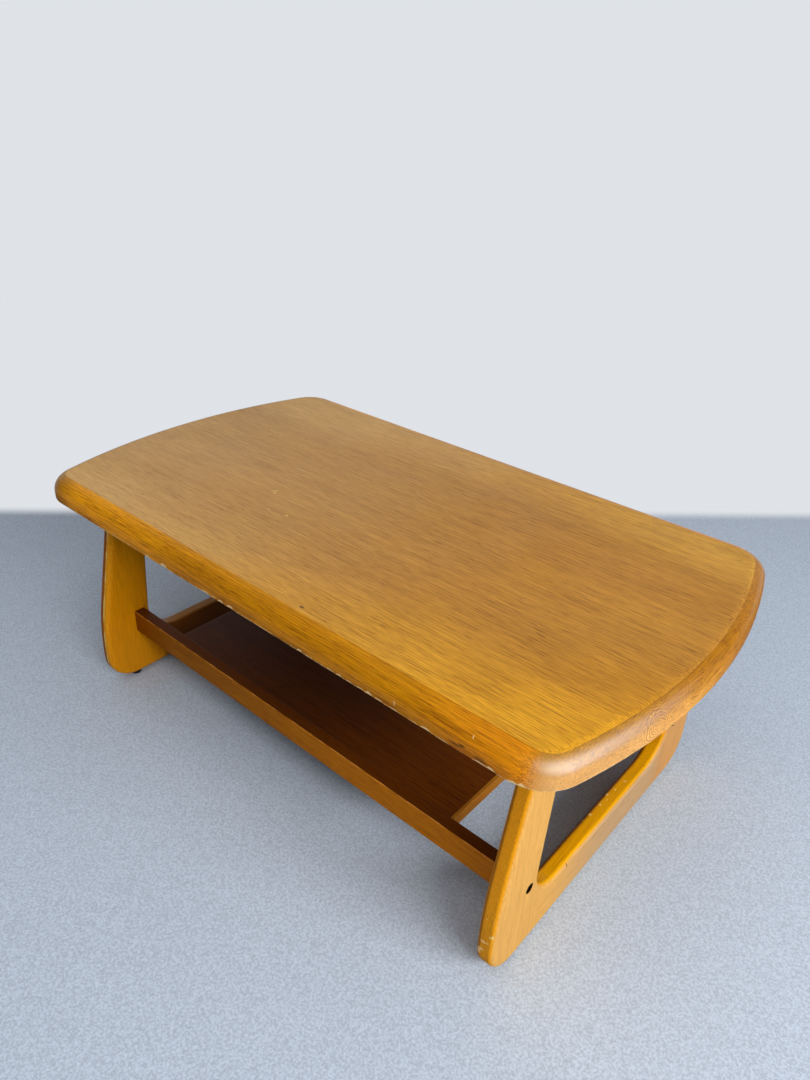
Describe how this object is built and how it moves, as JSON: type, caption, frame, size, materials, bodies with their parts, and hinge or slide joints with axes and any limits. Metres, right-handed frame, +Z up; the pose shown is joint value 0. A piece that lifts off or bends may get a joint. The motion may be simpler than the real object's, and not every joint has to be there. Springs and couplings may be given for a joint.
{
  "type": "low table",
  "caption": "Low wooden centre table: a bowed, round-edged slab top on closed end frames, joined by long rails that carry a magazine shelf.",
  "frame": {"origin": "on the floor under the middle of the table", "axes": "+X along the table's length, -Y towards the front long side, +Z up"},
  "size_m": [1.05, 0.6, 0.41],
  "materials": {
    "top_veneer": "worn satin varnish over straight-grained veneer",
    "core_wood": "sanded panel, sealed",
    "edge_wood": "glossy amber varnish over plain-sawn solid wood",
    "frame_wood": "satin amber varnish over straight-grained solid wood",
    "rail_wood": "satin brown-amber varnish over solid wood",
    "shelf_wood": "satin brown varnish over veneered panel",
    "dowel_wood": "plain fluted hardwood",
    "black_steel": "black oxide",
    "zinc_steel": "zinc plated",
    "glide_plastic": "scuffed black plastic"
  },
  "bodies": {
    "root": {"back_left_glide": "glide_plastic", "back_long_rail": "rail_wood", "back_right_glide": "glide_plastic", "barrel_nuts": "zinc_steel", "connector_bolts": "black_steel", "front_left_glide": "glide_plastic", "front_long_rail": "rail_wood", "front_right_glide": "glide_plastic", "glide_nails": "zinc_steel", "left_frame_back_leg": "frame_wood", "left_frame_dowels": "dowel_wood", "left_frame_foot_rail": "frame_wood", "left_frame_front_leg": "frame_wood", "left_frame_top_rail": "frame_wood", "rail_dowels": "dowel_wood", "right_frame_back_leg": "frame_wood", "right_frame_dowels": "dowel_wood", "right_frame_foot_rail": "frame_wood", "right_frame_front_leg": "frame_wood", "right_frame_top_rail": "frame_wood", "shelf_dowels": "dowel_wood", "shelf_left_edge_strip": "rail_wood", "shelf_panel": "shelf_wood", "shelf_right_edge_strip": "rail_wood", "top_back_lipping": "edge_wood", "top_core_panel": "core_wood", "top_face_veneer": "top_veneer", "top_front_lipping": "edge_wood", "top_left_end_lipping": "edge_wood", "top_right_end_lipping": "edge_wood", "top_screws": "zinc_steel", "top_underside_veneer": "core_wood"}
  },
  "joints": []
}
